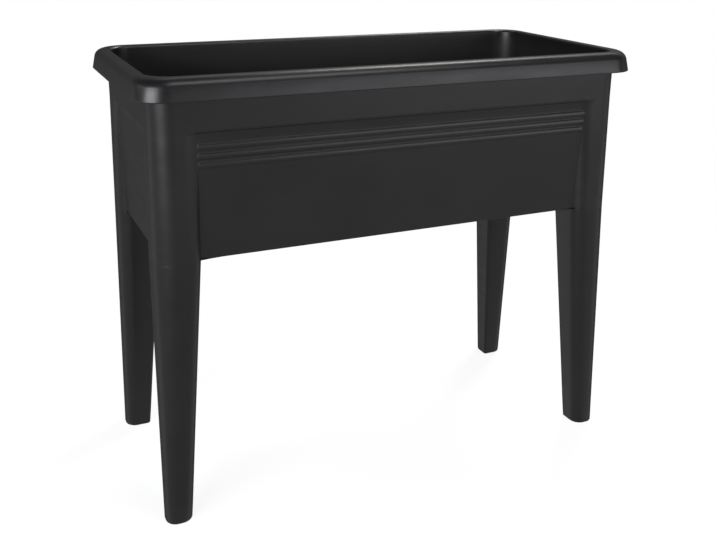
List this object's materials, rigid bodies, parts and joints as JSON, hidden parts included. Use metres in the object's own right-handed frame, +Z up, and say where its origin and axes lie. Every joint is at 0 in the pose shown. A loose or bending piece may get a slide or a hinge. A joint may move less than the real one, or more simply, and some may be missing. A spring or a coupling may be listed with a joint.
{
  "type": "raised garden bed",
  "caption": "Raised garden bed: a deep moulded trough with a turned-down rim and reeded long sides, on tapered plug-in corner legs, with a pull-out drain plug under its floor.",
  "frame": {"origin": "on the ground under the middle of the bed", "axes": "+X along the length, -Y out of the front, +Z up"},
  "size_m": [0.7546, 0.3516, 0.625],
  "materials": {
    "trough_plastic": "anthracite moulded plastic with a fine satin grain",
    "leg_plastic": "anthracite moulded plastic with a fine satin grain",
    "plug_plastic": "black moulded plastic, smooth",
    "seal_rubber": "black rubber, matt"
  },
  "bodies": {
    "bed": {"planter_trough": "trough_plastic", "leg_front_left": "leg_plastic", "leg_front_right": "leg_plastic", "leg_rear_left": "leg_plastic", "leg_rear_right": "leg_plastic"},
    "plug": {"drain_plug": "plug_plastic", "plug_seal": "seal_rubber"}
  },
  "joints": [
    {"name": "drain_plug_pull", "type": "slide", "parent": "bed", "child": "plug", "axis": [0, 0, -1], "range_m": [0, 0.03]}
  ]
}
